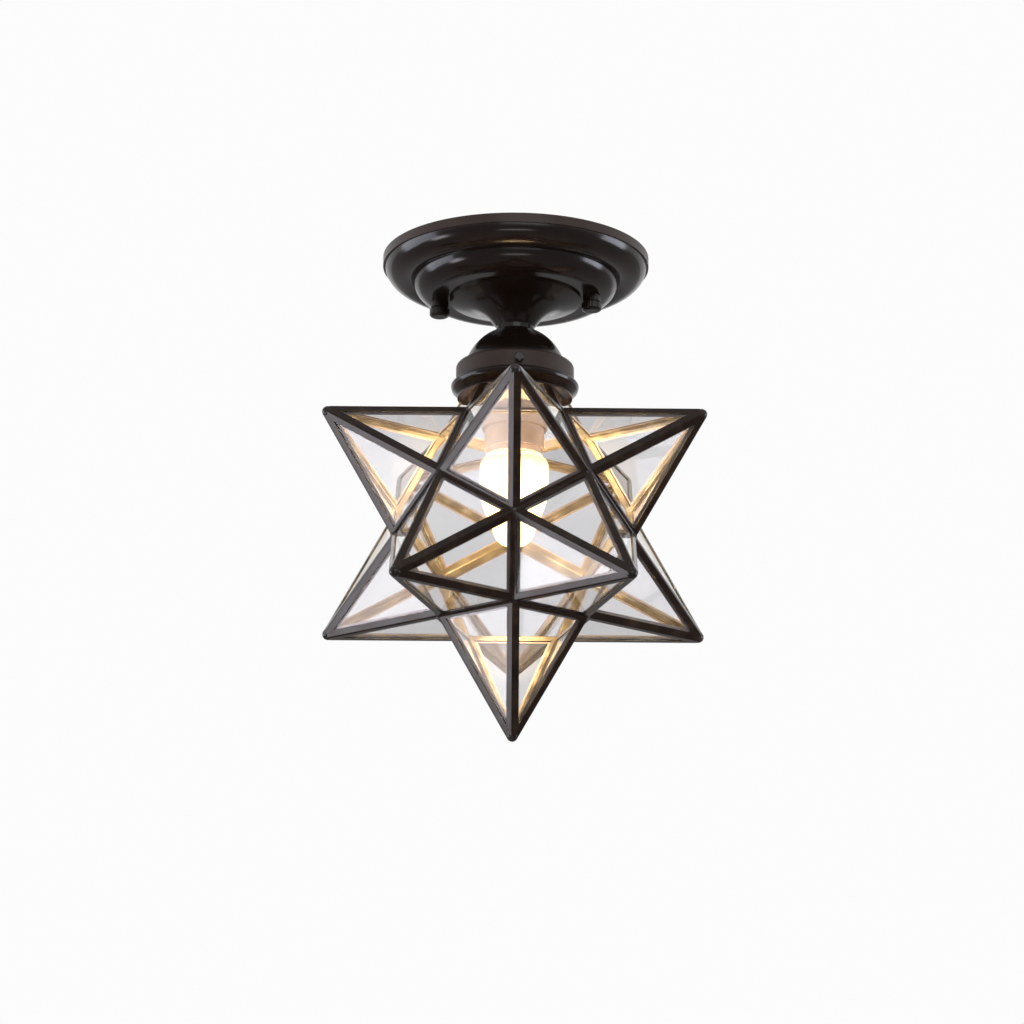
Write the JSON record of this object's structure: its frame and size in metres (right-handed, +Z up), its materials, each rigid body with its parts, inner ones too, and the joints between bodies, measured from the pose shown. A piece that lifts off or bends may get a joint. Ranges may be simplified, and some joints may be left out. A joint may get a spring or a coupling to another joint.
{
  "type": "ceiling light",
  "caption": "Semi-flush ceiling light: stepped canopy, flared bell, neck, domed socket cap and shade fitter over a pointed star shade of clear glass panes in metal cames, with a bulb inside.",
  "frame": {"origin": "centre of the ceiling plane: the top face of the box strap and of the canopy's rim", "axes": "+Z up into the ceiling, +X along the box strap, -Y toward the star's front point"},
  "size_m": [0.2032, 0.2132, 0.2672],
  "materials": {
    "bronze_finish": "glossy dark bronze",
    "zinc_steel": "zinc plated",
    "green_steel": "green plated",
    "socket_aluminium": "satin",
    "porcelain": "glazed",
    "socket_brass": "stamped",
    "bulb_glass": "clear",
    "bulb_metal": "nickel plated",
    "black_insulator": "vitrified",
    "filament_coating": "lit",
    "came_metal": "dark patina",
    "solder": "dark patina over solder",
    "pane_glass": "clear"
  },
  "bodies": {
    "ceiling_mount": {"box_strap": "zinc_steel", "swivel_rivet": "zinc_steel"},
    "fixture_strap": {"fixture_strap": "zinc_steel", "canopy_studs": "zinc_steel", "ground_screw": "green_steel"},
    "canopy": {"canopy": "bronze_finish", "bell": "bronze_finish", "neck_ring": "bronze_finish", "socket_dome": "bronze_finish", "shade_fitter": "bronze_finish", "threaded_nipple": "zinc_steel", "lock_washer": "zinc_steel", "upper_lock_nut": "zinc_steel", "lower_lock_nut": "zinc_steel", "socket_cap": "socket_aluminium", "socket_body": "porcelain", "socket_screw_shell": "socket_brass", "socket_centre_contact": "socket_brass", "socket_terminal_screws": "socket_brass"},
    "left_cap_nut": {"cap_nut_left": "bronze_finish"},
    "right_cap_nut": {"cap_nut_right": "bronze_finish"},
    "front_set_screw": {"set_screw_front": "bronze_finish"},
    "right_set_screw": {"set_screw_right": "bronze_finish"},
    "left_set_screw": {"set_screw_left": "bronze_finish"},
    "bulb_tip": {"bulb_centre_contact": "bulb_metal"},
    "bulb": {"bulb_glass": "bulb_glass", "bulb_stem": "bulb_glass", "bulb_screw_base": "bulb_metal", "bulb_base_insulator": "black_insulator", "bulb_support_wires": "bulb_metal", "bulb_filaments": "filament_coating"},
    "star_shade": {"top_point_cames": "came_metal", "upper_point_1_cames": "came_metal", "upper_point_2_cames": "came_metal", "upper_point_3_cames": "came_metal", "upper_point_4_cames": "came_metal", "upper_point_5_cames": "came_metal", "lower_point_1_cames": "came_metal", "lower_point_2_cames": "came_metal", "lower_point_3_cames": "came_metal", "lower_point_4_cames": "came_metal", "lower_point_5_cames": "came_metal", "bottom_point_cames": "came_metal", "top_point_glass": "pane_glass", "upper_point_1_glass": "pane_glass", "upper_point_2_glass": "pane_glass", "upper_point_3_glass": "pane_glass", "upper_point_4_glass": "pane_glass", "upper_point_5_glass": "pane_glass", "lower_point_1_glass": "pane_glass", "lower_point_2_glass": "pane_glass", "lower_point_3_glass": "pane_glass", "lower_point_4_glass": "pane_glass", "lower_point_5_glass": "pane_glass", "bottom_point_glass": "pane_glass", "valley_cames_upper": "came_metal", "valley_cames_waist": "came_metal", "valley_cames_lower": "came_metal", "tip_caps": "solder", "shade_collar": "came_metal"}
  },
  "joints": [
    {"name": "crossbar_swivel", "type": "hinge", "parent": "ceiling_mount", "child": "fixture_strap", "pos_m": [0, 0, -0.0017], "axis": [0, 0, 1], "continuous": true},
    {"name": "canopy_drop", "type": "slide", "parent": "fixture_strap", "child": "canopy", "axis": [0, 0, -1], "range_m": [0, 0.03]},
    {"name": "left_cap_nut_travel", "type": "slide", "parent": "canopy", "child": "left_cap_nut", "axis": [0, 0, -1], "range_m": [0, 0.0085]},
    {"name": "right_cap_nut_travel", "type": "slide", "parent": "canopy", "child": "right_cap_nut", "axis": [0, 0, -1], "range_m": [0, 0.0085]},
    {"name": "front_set_screw_travel", "type": "slide", "parent": "canopy", "child": "front_set_screw", "axis": [0.0663, -0.9978, 0], "range_m": [0, 0.0025]},
    {"name": "right_set_screw_travel", "type": "slide", "parent": "canopy", "child": "right_set_screw", "axis": [0.831, 0.5563, 0], "range_m": [0, 0.0025]},
    {"name": "left_set_screw_travel", "type": "slide", "parent": "canopy", "child": "left_set_screw", "axis": [-0.8973, 0.4415, 0], "range_m": [0, 0.0025]},
    {"name": "bulb_travel", "type": "slide", "parent": "canopy", "child": "bulb_tip", "axis": [0, 0, -1], "range_m": [0, 0.02177]},
    {"name": "bulb_turn", "type": "hinge", "parent": "bulb_tip", "child": "bulb", "pos_m": [0, 0, -0.1], "axis": [0, 0, -1], "range_deg": [0, 2170]},
    {"name": "shade_drop", "type": "slide", "parent": "canopy", "child": "star_shade", "axis": [0, 0, -1], "range_m": [0, 0.12]}
  ],
  "couplings": [
    {"joint": "bulb_turn", "follows": "bulb_travel", "rad_per_m": 1731.6}
  ]
}
